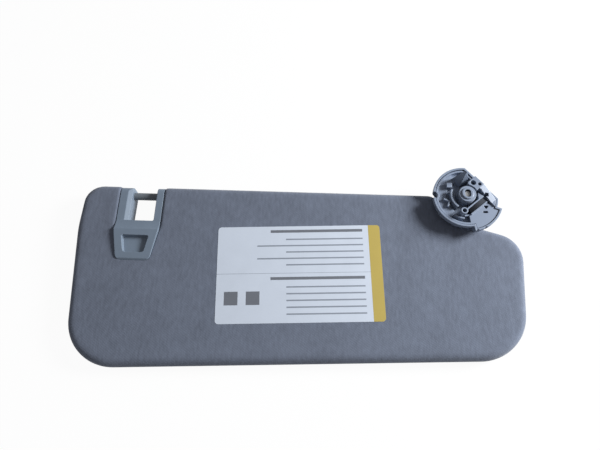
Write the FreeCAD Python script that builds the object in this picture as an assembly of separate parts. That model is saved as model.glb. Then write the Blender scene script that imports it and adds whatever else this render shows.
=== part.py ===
import FreeCAD, Part

import math
import os

V = FreeCAD.Vector

# A car sun visor lying on its back, label side up, with its roof mount at the right end.
# All lengths are millimetres. The origin is on the swivel axis in the plane where the
# mount seats on the roof. +Z points up into the roof, the pivot rod runs along -X into
# the panel, and the panel spreads from the rod towards -Y.

# Panel
ROD_Z = -22.0                   # height of the rod's axis, in the middle of the thick edge
THICK_AT_ROD = 20.0             # panel thickness over the rod
THICK_AT_FREE_EDGE = 14.6       # panel thickness at the free edge
EDGE_ROUND = 6.6                # rounding all round the panel, front and back
TOP_EDGE_Y = 7.4                # straight edge beside the rod
LEFT_X = -357.6                 # left end of the panel
FREE_EDGE_LEFT_Y = -161.0       # free edge where it would meet the left end
LEFT_LEAN = 10.4                # left end at the free edge, further in
FREE_EDGE_RIGHT = (47.0, -142.0)
NOTCH_WALL_X = -20.5            # wall that the rod goes into, beside the mount
NOTCH_FLOOR_Y = -14.5           # inner corner of the part cut away under the mount
LOBE_TOP_RIGHT = (54.6, -34.8)
PARTING_Z = -24.9               # plane where the two halves of the panel meet

# Panel shells
FABRIC_T = 1.0                  # fabric with its foam backing
SHELL_WALL = 1.6
RIB_T = 1.4
RIB_PITCH_X = 46.0
RIB_PITCH_Y = 36.0
RIB_GAP = 0.15                  # between the ribs of the two halves

# Pivot rod
ROD_R = 3.5
ROD_BEND_R = 10.0               # bend, at the rod's axis
ROD_INNER_X = -104.0            # end of the rod inside the panel
ROD_TOP_Z = 5.6                 # end of the rod above the mount
ROD_FLAT_DEPTH = 0.6            # detent flat that the clip snaps onto
RUNNING_GAP = 0.05              # radial clearance where the rod turns

# Torque clip and its housing
CLIP_RIGHT_X = -42.0
CLIP_LENGTH = 34.0
CLIP_T = 1.0                    # spring steel strip
CLIP_TAIL = 12.5                # length of the two flat tails
CLIP_TAIL_GAP = 2.0             # between the tails
HOUSING_WALL = 2.6
HOUSING_MARGIN_X = 5.0          # housing beyond each end of the clip
HOUSING_GAP = 0.25              # between clip and housing
HOUSING_CLEAR = 0.15            # between housing and shells
SCREW_R = 1.9
SCREW_HEAD_R = 3.6
SCREW_HEAD_T = 2.2
SCREW_FROM_END = 8.0            # screw to the end of the clip
SCREW_Y = -11.6

# Bushes in the panel
BUSH_R = 4.8
OUTER_BUSH_LENGTH = 15.0
BUSH_PROUD = 0.9                # outer bush beyond the notch wall
INNER_BUSH_LENGTH = 9.0
INNER_BUSH_FROM_END = 2.5       # rod beyond the inner bush
CRADLE_WALL = 2.2

# Elbow cover over the bend
ELBOW_R = 5.8
ELBOW_GAP = 0.4                 # to the bush in the panel and to the mount

# Hook end: bezel, its back half and the bar
BEZEL_LEFT_X = -321.6
BEZEL_RIGHT_X = -280.6
WINDOW_LEFT_X = -311.0
WINDOW_RIGHT_X = -287.0
WINDOW_FLOOR_Y = -28.0
BEZEL_SUNK = 0.7                # legs below the fabric
SHIELD_PROUD = 2.7              # shield above the fabric at its shoulder
SHIELD_TIP_PROUD = 0.9
SHOULDER_Y = -37.5
SHOULDER_ROUND = 14.0
SHIELD_TIP_Y = -66.4
SHIELD_TIP_HALF_W = 12.6
RECESS_TOP_Y = -43.0
RECESS_FOOT_Y = -60.0
RECESS_TOP_HALF_W = 13.0
RECESS_FOOT_HALF_W = 10.0
RECESS_DEPTH = 3.4              # finger recess, below the shield's shoulder
BEZEL_RECESS_BELOW = 0.9        # recess floor further down, under the fabric line
BEZEL_WALL = 1.8
BEZEL_SEAM = 0.5                # gap between fabric and bezel
SEAM_STEP = 1.3                 # front shell set back from the bezel under the seam
SEAM_BELOW = 0.4                # that step, below the front shell's wall
WINDOW_CHAMFER = (3.6, 2.8)     # bright slope on the left leg, width and depth
RECESS_DRAFT = 1.3              # slope of the recess walls from rim to floor
REAR_BEZEL_FOOT_Y = -37.0
BAR_R = 3.5
BAR_SEAT = 2.2                  # bar inside each leg

# Label
LABEL_CENTRE = (-149.7, -73.5)
LABEL_W = 148.0
LABEL_H = 88.5
LABEL_TILT = 2.8                # degrees, in line with the free edge
LABEL_CORNER_R = 3.0
LABEL_T = 0.15

# Mount, seen from the roof side
CUP_R = 29.5
CUP_DEPTH = 9.6                 # seat plane to the outer face of the cup
CUP_WALL = 1.8
CUP_ROUND = 6.5                 # rounding of the cup's lower edge
CHORD_ANGLE = 42.0              # direction of the flattened side, degrees
CHORD_DISTANCE = 21.0
LOBE_R = 34.0                   # wide lobe at the lower right
LOBE_FROM = -80.0
LOBE_TO = -19.0
RIM_NOTCH_R = 3.0
KEY_NOTCH_IN = 0.6              # middle of the large notch inside the rim
KEY_NOTCH_ANGLE = 178.0
LOBE_NOTCH_R = 1.2
LOBE_NOTCH_ANGLES = (-76.0, -62.0)
BRACKET_GAP = 0.6               # between the cup's wall and the bracket's rim
BRACKET_WALL = 1.7
BRACKET_FLOOR_T = 2.4
BRACKET_RIM_TOP = -0.9
DECK_T = 2.2
SPIGOT_R = 8.0
SPIGOT_TOP = 4.6
SPIGOT_MOAT = 1.3               # free ring round the spigot for the roof bush
SWIVEL_BUSH_R = 6.0
SWIVEL_BUSH_FLANGE_R = 8.4
SWIVEL_BUSH_FLANGE_T = 0.8
SWIVEL_BUSH_TOP = 1.6
WASHER_T = 0.6
NUT_T = 0.6
NUT_R = 6.2
NUT_CAVITY_R = 6.7
CAP_STEP_R = 5.6
CAP_TOP = 7.4
CAP_ROOF = 1.2                  # thickness of the cap's top
CAP_LIP = 1.4                   # cap inside the spigot
CAP_FLANGE_T = 1.4
CAP_SLOT = (5.4, 7.4)
CAP_WALL = 1.0

CUP_OUT_Z = -CUP_DEPTH
CUP_FLOOR_Z = CUP_OUT_Z + CUP_WALL
BRACKET_FLOOR_Z = CUP_FLOOR_Z + BRACKET_FLOOR_T
BACK_Z = ROD_Z - THICK_AT_ROD / 2
FRONT_Z = ROD_Z + THICK_AT_ROD / 2
FRONT_SLOPE = (THICK_AT_ROD - THICK_AT_FREE_EDGE) / abs(FREE_EDGE_LEFT_Y)


def front_z(y, above=0.0):
    """Height of the panel's front face at y, plus a distance above it."""
    return FRONT_Z + FRONT_SLOPE * y + above


def rounded_wire(corners, z=0.0):
    """A closed wire through (x, y, radius) corners, each rounded by a tangent arc."""
    points = [V(x, y, z) for x, y, r in corners]
    count = len(points)
    into, out_of, tops = [], [], []
    for i, (x, y, r) in enumerate(corners):
        back = (points[i - 1] - points[i]).normalize()
        ahead = (points[(i + 1) % count] - points[i]).normalize()
        half = back.getAngle(ahead) / 2
        middle = (back + ahead).normalize()
        into.append(points[i] + back * (r / math.tan(half)))
        out_of.append(points[i] + ahead * (r / math.tan(half)))
        tops.append(points[i] + middle * (r / math.sin(half) - r))
    edges = []
    for i, (x, y, r) in enumerate(corners):
        if r > 0:
            edges.append(Part.Arc(into[i], tops[i], out_of[i]).toShape())
        end = into[(i + 1) % count]
        if (end - out_of[i]).Length > 1e-6:
            edges.append(Part.LineSegment(out_of[i], end).toShape())
    return Part.Wire(edges)


def prism(corners, z0, z1):
    """A straight-sided block over a rounded outline."""
    return Part.Face(rounded_wire(corners, z0)).extrude(V(0, 0, z1 - z0))


def box(x0, x1, y0, y1, z0, z1):
    return Part.makeBox(x1 - x0, y1 - y0, z1 - z0, V(x0, y0, z0))


def rod_cylinder(r, x0, x1):
    """A cylinder on the rod's horizontal axis."""
    return Part.makeCylinder(r, x1 - x0, V(x0, 0, ROD_Z), V(1, 0, 0))


def upright(r, x, y, z0, z1):
    return Part.makeCylinder(r, z1 - z0, V(x, y, z0))


def side_prism(points, x0, x1):
    """A (y, z) outline drawn out along X."""
    face = Part.Face(Part.makePolygon([V(x0, y, z) for y, z in points + points[:1]]))
    return face.extrude(V(x1 - x0, 0, 0))


def end_rims(shape):
    """The round edges at the two ends of a cylinder that lies along X."""
    return [e for e in shape.Edges if e.Closed and e.BoundBox.XLength < 1e-6]


def fuse(shapes):
    return shapes[0].multiFuse(shapes[1:]).removeSplitter() if len(shapes) > 1 else shapes[0]


def polar(r, degrees):
    return r * math.cos(math.radians(degrees)), r * math.sin(math.radians(degrees))


# Panel form

PANEL_CORNERS = [
    (LEFT_X + 1.8, TOP_EDGE_Y, 18.0),
    (LEFT_X, -35.0, 120.0),
    (LEFT_X + LEFT_LEAN, FREE_EDGE_LEFT_Y, 43.0),
    (FREE_EDGE_RIGHT[0], FREE_EDGE_RIGHT[1], 44.0),
    (LOBE_TOP_RIGHT[0], LOBE_TOP_RIGHT[1], 25.0),
    (NOTCH_WALL_X, NOTCH_FLOOR_Y, 8.5),
    (NOTCH_WALL_X, TOP_EDGE_Y, 10.0),
]
FAR = 60.0                      # reach of cutting tools beyond what they cut


def panel_form(inset):
    """The whole closed panel, drawn in by inset on every side."""
    outline = rounded_wire(PANEL_CORNERS, BACK_Z + inset)
    if inset:
        outline = outline.makeOffset2D(-inset, 0, False, False)
    form = Part.Face(outline).extrude(V(0, 0, THICK_AT_ROD + FAR))
    y0, y1 = FREE_EDGE_LEFT_Y - FAR, TOP_EDGE_Y + FAR
    low = BACK_Z - FAR
    form = form.common(side_prism(
        [(y0, low), (y1, low), (y1, front_z(y1, -inset)), (y0, front_z(y0, -inset))],
        LEFT_X - FAR, LOBE_TOP_RIGHT[0] + FAR))
    rims = []
    for face in form.Faces:
        if abs(face.normalAt(0, 0).z) > 0.9:
            rims += face.OuterWire.Edges
    return form.makeFillet(EDGE_ROUND - inset, rims)


def halves(shape):
    """Front half and rear half of a panel shape."""
    x0, x1 = LEFT_X - FAR, LOBE_TOP_RIGHT[0] + FAR
    y0, y1 = FREE_EDGE_LEFT_Y - FAR, TOP_EDGE_Y + FAR
    front = shape.common(box(x0, x1, y0, y1, PARTING_Z, FRONT_Z + FAR))
    rear = shape.common(box(x0, x1, y0, y1, BACK_Z - FAR, PARTING_Z))
    return front, rear


# Hook end

BEZEL_MID_X = (BEZEL_LEFT_X + BEZEL_RIGHT_X) / 2


def bezel_outline(grow=0.0):
    """Legs and shield as one outline, open towards the top edge."""
    top = TOP_EDGE_Y + FAR
    return [
        (BEZEL_LEFT_X - grow, top, 0.0),
        (BEZEL_LEFT_X - grow, SHOULDER_Y, SHOULDER_ROUND + grow),
        (BEZEL_MID_X - SHIELD_TIP_HALF_W - 2.6 - grow, SHIELD_TIP_Y - grow, 5.5 + grow),
        (BEZEL_MID_X + SHIELD_TIP_HALF_W + 2.6 + grow, SHIELD_TIP_Y - grow, 5.5 + grow),
        (BEZEL_RIGHT_X + grow, SHOULDER_Y, SHOULDER_ROUND + grow),
        (BEZEL_RIGHT_X + grow, top, 0.0),
    ]


def rear_bezel_outline(grow=0.0):
    top = TOP_EDGE_Y + FAR
    return [
        (BEZEL_LEFT_X - grow, top, 0.0),
        (BEZEL_LEFT_X - grow, REAR_BEZEL_FOOT_Y - grow, 4.0 + grow),
        (BEZEL_RIGHT_X + grow, REAR_BEZEL_FOOT_Y - grow, 4.0 + grow),
        (BEZEL_RIGHT_X + grow, top, 0.0),
    ]


def window_cut():
    """The see-through window, the gap past the bar and the open notch above it."""
    return prism([
        (WINDOW_LEFT_X, TOP_EDGE_Y + FAR, 0.0),
        (WINDOW_LEFT_X, WINDOW_FLOOR_Y, 1.5),
        (WINDOW_RIGHT_X, WINDOW_FLOOR_Y, 1.5),
        (WINDOW_RIGHT_X, TOP_EDGE_Y + FAR, 0.0),
    ], BACK_Z - FAR, FRONT_Z + FAR)


def bezel_side(sunk):
    """Side view of the front bezel: round top end, low legs, raised shield."""
    top_y = TOP_EDGE_Y - sunk
    round_r = EDGE_ROUND - sunk / 2
    start = V(0, top_y, ROD_Z)
    below_round = V(0, top_y, front_z(0, -sunk) - round_r)
    on_front = V(0, top_y - round_r, front_z(top_y - round_r, -sunk))
    corner = V(0, top_y - round_r * (1 - math.sqrt(0.5)), on_front.z - round_r * (1 - math.sqrt(0.5)))
    leg_foot = V(0, WINDOW_FLOOR_Y + 1.0, front_z(WINDOW_FLOOR_Y + 1.0, -sunk))
    rise_mid = V(0, (WINDOW_FLOOR_Y + SHOULDER_Y) / 2 - 1.2, front_z(WINDOW_FLOOR_Y, 0.5))
    shoulder = V(0, SHOULDER_Y, front_z(SHOULDER_Y, SHIELD_PROUD))
    tip = V(0, SHIELD_TIP_Y + 1.5, front_z(SHIELD_TIP_Y + 1.5, SHIELD_TIP_PROUD))
    nose = V(0, SHIELD_TIP_Y - 1.0, front_z(SHIELD_TIP_Y, -1.2))
    foot = V(0, SHIELD_TIP_Y - 1.0, ROD_Z)
    crown = V(0, (shoulder.y + tip.y) / 2, (shoulder.z + tip.z) / 2 + 0.35)
    return Part.Wire([
        Part.LineSegment(start, below_round).toShape(),
        Part.Arc(below_round, corner, on_front).toShape(),
        Part.LineSegment(on_front, leg_foot).toShape(),
        Part.Arc(leg_foot, rise_mid, shoulder).toShape(),
        Part.Arc(shoulder, crown, tip).toShape(),
        Part.LineSegment(tip, nose).toShape(),
        Part.LineSegment(nose, foot).toShape(),
        Part.LineSegment(foot, start).toShape(),
    ])


def leg_pockets(z0, z1):
    """Hollows inside the two legs."""
    y0, y1 = WINDOW_FLOOR_Y, TOP_EDGE_Y - EDGE_ROUND
    left = box(BEZEL_LEFT_X + BEZEL_WALL, WINDOW_LEFT_X - WINDOW_CHAMFER[0], y0, y1, z0, z1)
    right = box(WINDOW_RIGHT_X + BEZEL_WALL, BEZEL_RIGHT_X - BEZEL_WALL, y0, y1, z0, z1)
    return [left, right]


def recess_rim(inset, z):
    """Outline of the finger recess, drawn in by inset."""
    top, foot = RECESS_TOP_HALF_W - inset, RECESS_FOOT_HALF_W - inset
    return rounded_wire([
        (BEZEL_MID_X - top, RECESS_TOP_Y - inset, 1.6),
        (BEZEL_MID_X - foot, RECESS_FOOT_Y + inset, 2.6),
        (BEZEL_MID_X + foot, RECESS_FOOT_Y + inset, 2.6),
        (BEZEL_MID_X + top, RECESS_TOP_Y - inset, 1.6),
    ], z)


def window_slope():
    """The sloped edge of the left leg towards the window, along the front face."""
    width, depth = WINDOW_CHAMFER
    y0, y1 = WINDOW_FLOOR_Y, TOP_EDGE_Y + FAR
    z = front_z(y0, -BEZEL_SUNK)
    edge = Part.makePolygon([V(WINDOW_LEFT_X - width, y0, z), V(WINDOW_LEFT_X + 1, y0, z - depth),
                             V(WINDOW_LEFT_X + 1, y0, z + FAR), V(WINDOW_LEFT_X - width, y0, z + FAR),
                             V(WINDOW_LEFT_X - width, y0, z)])
    return Part.Face(edge).extrude(V(0, y1 - y0, FRONT_SLOPE * (y1 - y0)))


def hook_bezel():
    side = Part.Face(bezel_side(BEZEL_SUNK)).extrude(V(BEZEL_RIGHT_X - BEZEL_LEFT_X + 2 * FAR, 0, 0))
    side.translate(V(BEZEL_LEFT_X - FAR, 0, 0))
    body = side.common(prism(bezel_outline(), ROD_Z, FRONT_Z + FAR))
    floor = SHIELD_PROUD - RECESS_DEPTH - BEZEL_RECESS_BELOW
    recess = Part.makeLoft([recess_rim(0.0, FRONT_Z + SHIELD_PROUD),
                            recess_rim(RECESS_DRAFT, front_z(RECESS_TOP_Y, floor))], True)
    above_floor = side_prism(
        [(SHIELD_TIP_Y, front_z(SHIELD_TIP_Y, floor)), (WINDOW_FLOOR_Y, front_z(WINDOW_FLOOR_Y, floor)),
         (WINDOW_FLOOR_Y, FRONT_Z + FAR), (SHIELD_TIP_Y, FRONT_Z + FAR)], BEZEL_LEFT_X, BEZEL_RIGHT_X)
    recess = recess.common(above_floor)
    hollow = prism([
        (BEZEL_LEFT_X + BEZEL_WALL, WINDOW_FLOOR_Y - BEZEL_WALL, 1.0),
        (BEZEL_LEFT_X + BEZEL_WALL, SHOULDER_Y, SHOULDER_ROUND - 2.0),
        (BEZEL_MID_X - SHIELD_TIP_HALF_W - 1.0, SHIELD_TIP_Y + BEZEL_WALL, 3.8),
        (BEZEL_MID_X + SHIELD_TIP_HALF_W + 1.0, SHIELD_TIP_Y + BEZEL_WALL, 3.8),
        (BEZEL_RIGHT_X - BEZEL_WALL, SHOULDER_Y, SHOULDER_ROUND - 2.0),
        (BEZEL_RIGHT_X - BEZEL_WALL, WINDOW_FLOOR_Y - BEZEL_WALL, 1.0),
    ], ROD_Z - 1, front_z(SHIELD_TIP_Y, floor - BEZEL_WALL))
    cuts = [window_cut(), window_slope(), recess, hollow, bar()] + leg_pockets(ROD_Z - 1, front_z(WINDOW_FLOOR_Y, -BEZEL_SUNK - BEZEL_WALL))
    return body.cut(cuts)


def hook_bezel_rear():
    flush = 0.3                 # back face above the fabric, so the fabric takes the load
    back = BACK_Z + flush
    body = prism(rear_bezel_outline(), back, ROD_Z)
    top_y = TOP_EDGE_Y - BEZEL_SUNK
    r = EDGE_ROUND - flush
    body = body.common(box(BEZEL_LEFT_X, BEZEL_RIGHT_X, REAR_BEZEL_FOOT_Y, top_y, back, ROD_Z))
    top_edges = [e for e in body.Edges
                 if abs(e.BoundBox.YMin - top_y) < 1e-3 and abs(e.BoundBox.ZMax - back) < 1e-3
                 and e.BoundBox.XLength > 10]
    body = body.makeFillet(r, top_edges)
    cross = box(BEZEL_LEFT_X + BEZEL_WALL, BEZEL_RIGHT_X - BEZEL_WALL,
                REAR_BEZEL_FOOT_Y + BEZEL_WALL, WINDOW_FLOOR_Y - BEZEL_WALL, back + BEZEL_WALL, ROD_Z + 1)
    return body.cut([window_cut(), cross, bar()] + leg_pockets(back + BEZEL_WALL, ROD_Z + 1))


def bar():
    return rod_cylinder(BAR_R, WINDOW_LEFT_X - BAR_SEAT, WINDOW_RIGHT_X + BAR_SEAT)


def hook_bar():
    pin = bar()
    return pin.makeChamfer(0.4, end_rims(pin))


# Panel shells and covers

CLIP_LEFT_X = CLIP_RIGHT_X - CLIP_LENGTH
HOUSING_X = (CLIP_LEFT_X - HOUSING_MARGIN_X, CLIP_RIGHT_X + HOUSING_MARGIN_X)
HOUSING_Y = (SCREW_Y - SCREW_HEAD_R - HOUSING_WALL, ROD_R + CLIP_T + 0.2)
CORE_IN = FABRIC_T + SHELL_WALL
SHELL_FLOOR_Z = BACK_Z + CORE_IN
HOUSING_Z = (SHELL_FLOOR_Z + 1.0, front_z(HOUSING_Y[0], -CORE_IN - HOUSING_GAP))
SCREW_XS = (CLIP_LEFT_X + SCREW_FROM_END, CLIP_RIGHT_X - SCREW_FROM_END)
INNER_BUSH_X = (ROD_INNER_X + INNER_BUSH_FROM_END, ROD_INNER_X + INNER_BUSH_FROM_END + INNER_BUSH_LENGTH)
OUTER_BUSH_X = (NOTCH_WALL_X - OUTER_BUSH_LENGTH + BUSH_PROUD, NOTCH_WALL_X + BUSH_PROUD)


def bush_hole():
    """Way through the notch wall for the outer bush."""
    return rod_cylinder(BUSH_R, OUTER_BUSH_X[0] - 1, OUTER_BUSH_X[1] + ROD_BEND_R)


def core_cuts():
    """What both shells leave free: the hook end, the rod with its clip, the bushes."""
    rod_room = box(ROD_INNER_X - 4, NOTCH_WALL_X - FABRIC_T - SHELL_WALL, HOUSING_Y[0] - 1,
                   TOP_EDGE_Y - CORE_IN, SHELL_FLOOR_Z, FRONT_Z - CORE_IN)
    return rod_room


def cradles(inner):
    """Saddle walls that hold the two bushes inside the shells."""
    walls = []
    for x0, x1 in (INNER_BUSH_X, OUTER_BUSH_X):
        x1 = min(x1, NOTCH_WALL_X - FABRIC_T)
        for x in (x0 + 0.5, x1 - CRADLE_WALL - 0.5):
            walls.append(box(x, x + CRADLE_WALL, HOUSING_Y[0], TOP_EDGE_Y, BACK_Z, FRONT_Z + FAR))
    return fuse(walls).common(inner).cut(rod_cylinder(BUSH_R, ROD_INNER_X - 10, 0))


def ribs(inner):
    """Crossing ribs inside the shells, clear of the rod's space and the hook end."""
    walls = []
    x = LEFT_X + RIB_PITCH_X / 2
    while x < LOBE_TOP_RIGHT[0] - 6:
        walls.append(box(x, x + RIB_T, FREE_EDGE_LEFT_Y, TOP_EDGE_Y, BACK_Z, FRONT_Z + FAR))
        x += RIB_PITCH_X
    y = HOUSING_Y[0] - RIB_T - 1
    while y > FREE_EDGE_LEFT_Y + 6:
        walls.append(box(LEFT_X, LOBE_TOP_RIGHT[0], y - RIB_T, y, BACK_Z, FRONT_Z + FAR))
        y -= RIB_PITCH_Y
    return fuse(walls).common(inner).cut(core_cuts())


def shells():
    """Front and rear moulded shells and the fabric bonded over each."""
    outer = panel_form(0.0)
    core = panel_form(FABRIC_T)
    inner = panel_form(CORE_IN)
    front_hole = prism(bezel_outline(BEZEL_SEAM), PARTING_Z, FRONT_Z + FAR)
    rear_hole = prism(rear_bezel_outline(BEZEL_SEAM), BACK_Z - FAR, PARTING_Z)
    fabric = [half.cut([hole, bush_hole()])
              for half, hole in zip(halves(outer.cut(core)), (front_hole, rear_hole))]
    seam_floor = front_z(SHIELD_TIP_Y, -CORE_IN - SEAM_BELOW)
    front_fit = prism(bezel_outline(), ROD_Z, seam_floor)
    front_seam = prism(bezel_outline(SEAM_STEP), seam_floor, FRONT_Z + FAR)
    rear_fit = prism(rear_bezel_outline(), BACK_Z - FAR, ROD_Z)
    stiff = fuse([core.cut(inner), ribs(inner), cradles(inner)])
    rib_split = box(LEFT_X, LOBE_TOP_RIGHT[0], FREE_EDGE_LEFT_Y, TOP_EDGE_Y,
                    PARTING_Z, PARTING_Z + RIB_GAP).common(inner)
    stiff = stiff.cut([rib_split, front_fit, front_seam, rear_fit, bush_hole()])
    front_core, rear_core = halves(stiff)
    bosses = [upright(SCREW_HEAD_R + 0.6, x, SCREW_Y, SHELL_FLOOR_Z, HOUSING_Z[0]) for x in SCREW_XS]
    rear_core = fuse([rear_core] + bosses).cut([screw_shank(x) for x in SCREW_XS])
    return fabric[0], fabric[1], front_core, rear_core


# Rod, clip and bushes

def pivot_rod():
    """Bent steel rod: up through the mount, along the panel's edge to the clip."""
    flat_leg = rod_cylinder(ROD_R, ROD_INNER_X, -ROD_BEND_R)
    rise = upright(ROD_R, 0, 0, ROD_Z + ROD_BEND_R, ROD_TOP_Z)
    start = Part.Face(Part.Wire(Part.makeCircle(ROD_R, V(0, 0, ROD_Z + ROD_BEND_R), V(0, 0, 1))))
    bend = start.revolve(V(-ROD_BEND_R, 0, ROD_Z + ROD_BEND_R), V(0, 1, 0), 90)
    rod = fuse([flat_leg, bend, rise])
    flat = box(CLIP_LEFT_X - 3, CLIP_RIGHT_X + 3, -ROD_R, ROD_R,
               ROD_Z + ROD_R - ROD_FLAT_DEPTH, ROD_Z + ROD_R + 1)
    rod = rod.cut(flat)
    tips = [e for e in rod.Edges if e.Closed and (e.BoundBox.XMax < ROD_INNER_X + 0.01
                                                  or e.BoundBox.ZMin > ROD_TOP_Z - 0.01)]
    return rod.makeChamfer(0.8, tips)


def torque_clip():
    """Spring strip wrapped round the rod, with two tails pressed together."""
    r0 = ROD_R + RUNNING_GAP
    r1 = r0 + CLIP_T
    g = CLIP_TAIL_GAP / 2
    ring = rod_cylinder(r1, CLIP_LEFT_X, CLIP_RIGHT_X)
    tails = box(CLIP_LEFT_X, CLIP_RIGHT_X, -r1 - CLIP_TAIL + 1, 0, ROD_Z - g - CLIP_T, ROD_Z + g + CLIP_T)
    bore = rod_cylinder(r0, CLIP_LEFT_X - 1, CLIP_RIGHT_X + 1)
    slot = box(CLIP_LEFT_X - 1, CLIP_RIGHT_X + 1, -r1 - CLIP_TAIL, 0, ROD_Z - g, ROD_Z + g)
    holes = [upright(SCREW_R + 0.3, x, SCREW_Y, BACK_Z, FRONT_Z) for x in SCREW_XS]
    return fuse([ring, tails]).cut([bore, slot] + holes)


def screw_shank(x):
    return upright(SCREW_R, x, SCREW_Y, SHELL_FLOOR_Z - 1.6, HOUSING_Z[1] - 0.6)


def clip_screw(x):
    """Pan-head screw down through housing, clip and boss."""
    top = HOUSING_Z[1] - 0.6
    head = upright(SCREW_HEAD_R, x, SCREW_Y, top - SCREW_HEAD_T, top)
    head = head.makeChamfer(0.7, [e for e in head.Edges if e.Closed and e.BoundBox.ZMin > top - 0.01])
    cross = [box(x - 2.0, x + 2.0, SCREW_Y - 0.5, SCREW_Y + 0.5, top - 1.2, top + 1),
             box(x - 0.5, x + 0.5, SCREW_Y - 2.0, SCREW_Y + 2.0, top - 1.2, top + 1)]
    shank = upright(SCREW_R, x, SCREW_Y, SHELL_FLOOR_Z - 1.6, top - 1)
    return fuse([head, shank]).cut(cross)


def clip_housing():
    """Moulded block that the clip's tails are clamped in."""
    body = box(HOUSING_X[0], HOUSING_X[1], HOUSING_Y[0], HOUSING_Y[1], HOUSING_Z[0], HOUSING_Z[1])
    body = body.makeFillet(1.2, [e for e in body.Edges if e.BoundBox.ZLength > 5])
    body = body.common(panel_form(CORE_IN + HOUSING_CLEAR))
    r1 = ROD_R + RUNNING_GAP + CLIP_T
    seat = rod_cylinder(r1 + HOUSING_GAP, CLIP_LEFT_X - HOUSING_GAP, CLIP_RIGHT_X + HOUSING_GAP)
    way = rod_cylinder(ROD_R + 0.6, HOUSING_X[0] - 1, HOUSING_X[1] + 1)
    g = CLIP_TAIL_GAP / 2 + CLIP_T
    slot = box(CLIP_LEFT_X - HOUSING_GAP, CLIP_RIGHT_X + HOUSING_GAP, -r1 - CLIP_TAIL + 1 - HOUSING_GAP, 0,
               ROD_Z - g, ROD_Z + g)
    open_side = box(CLIP_LEFT_X - HOUSING_GAP, CLIP_RIGHT_X + HOUSING_GAP, 0, HOUSING_Y[1] + 1,
                    ROD_Z - r1 - HOUSING_GAP, ROD_Z + r1 + HOUSING_GAP)
    seats = [upright(SCREW_HEAD_R + 0.3, x, SCREW_Y, HOUSING_Z[1] - 0.6 - SCREW_HEAD_T, HOUSING_Z[1] + 1)
             for x in SCREW_XS]
    shanks = [upright(SCREW_R + 0.1, x, SCREW_Y, HOUSING_Z[0] - 1, HOUSING_Z[1]) for x in SCREW_XS]
    return body.cut([seat, way, slot, open_side] + seats + shanks)


def panel_bush(x0, x1):
    """Plastic bush that the rod turns in, with a lead-in at its outer end."""
    bush = rod_cylinder(BUSH_R, x0, x1)
    bush = bush.makeChamfer(0.5, end_rims(bush))
    return bush.cut(rod_cylinder(ROD_R + RUNNING_GAP, x0 - 1, x1 + 1))


def elbow_cover():
    """Moulded sleeve over the bend, turning with the rod."""
    end_x = OUTER_BUSH_X[1] + ELBOW_GAP
    top_z = CUP_OUT_Z - SWIVEL_BUSH_FLANGE_T - ELBOW_GAP
    knee = Part.makeSphere(ELBOW_R, V(0, 0, ROD_Z))
    flat_leg = rod_cylinder(ELBOW_R, end_x, 0)
    rise = upright(ELBOW_R, 0, 0, ROD_Z, top_z)
    return fuse([flat_leg, rise, knee]).cut(pivot_rod())


# Mount

def drum(r, z0, z1, floor_round):
    """An upright cylinder with its lower edge rounded."""
    body = upright(r, 0, 0, z0, z1)
    return body.makeFillet(floor_round, [e for e in body.Edges if e.BoundBox.ZMax < z0 + 1e-3])


def mount_block(inset, z0, z1, floor_round):
    """The mount's plan drawn in by inset: a disc, a wider lobe and one flattened side."""
    half = math.radians(LOBE_TO - LOBE_FROM) / 2
    tip = V(*polar(inset / math.sin(half), (LOBE_FROM + LOBE_TO) / 2), z0 - 1)
    wedge = Part.Face(Part.makePolygon([
        tip, tip + V(*polar(FAR, LOBE_FROM), 0), tip + V(*polar(FAR * 2, (LOBE_FROM + LOBE_TO) / 2), 0),
        tip + V(*polar(FAR, LOBE_TO), 0), tip])).extrude(V(0, 0, z1 - z0 + 2))
    lobe = drum(LOBE_R - inset, z0, z1, floor_round).common(wedge)
    block = fuse([drum(CUP_R - inset, z0, z1, floor_round), lobe])
    flat = box(-FAR, CHORD_DISTANCE - inset, -FAR, FAR, z0, z1)
    flat = flat.makeFillet(floor_round, [e for e in flat.Edges if e.BoundBox.ZMax < z0 + 1e-3
                                         and e.BoundBox.XMin > CHORD_DISTANCE - inset - 1e-3])
    flat.rotate(V(0, 0, 0), V(0, 0, 1), CHORD_ANGLE)
    return block.common(flat)


def key_post(r, z0, z1):
    """Upright cylinder where the rim is notched for the key in the roof."""
    x, y = polar(CUP_R - KEY_NOTCH_IN, KEY_NOTCH_ANGLE)
    return upright(r, x, y, z0, z1)


def rim_notches(grow=0.0):
    """Small notches in the rim where the mount is keyed into the roof."""
    notches = [key_post(RIM_NOTCH_R + grow, CUP_OUT_Z - 1, 2)]
    for angle in LOBE_NOTCH_ANGLES:
        x, y = polar(LOBE_R, angle)
        notches.append(upright(LOBE_NOTCH_R + grow, x, y, CUP_OUT_Z - 1, 2))
    return notches


def mount_cup():
    """Dished trim cup: the smooth face that is seen below the roof."""
    cup = mount_block(0.0, CUP_OUT_Z, 0.0, CUP_ROUND)
    inside = mount_block(CUP_WALL, CUP_FLOOR_Z, 1.0, CUP_ROUND - CUP_WALL)
    hub = upright(SWIVEL_BUSH_R, 0, 0, CUP_OUT_Z - 1, 0)
    return cup.cut([inside, hub] + rim_notches())


def sector(r0, r1, a0, a1, z0, z1):
    """Part of an upright ring wall between two angles."""
    ring = Part.makeCylinder(r1, z1 - z0, V(0, 0, z0), V(0, 0, 1), a1 - a0)
    ring.rotate(V(0, 0, 0), V(0, 0, 1), a0)
    return ring.cut(upright(r0, 0, 0, z0 - 1, z1 + 1))


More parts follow.
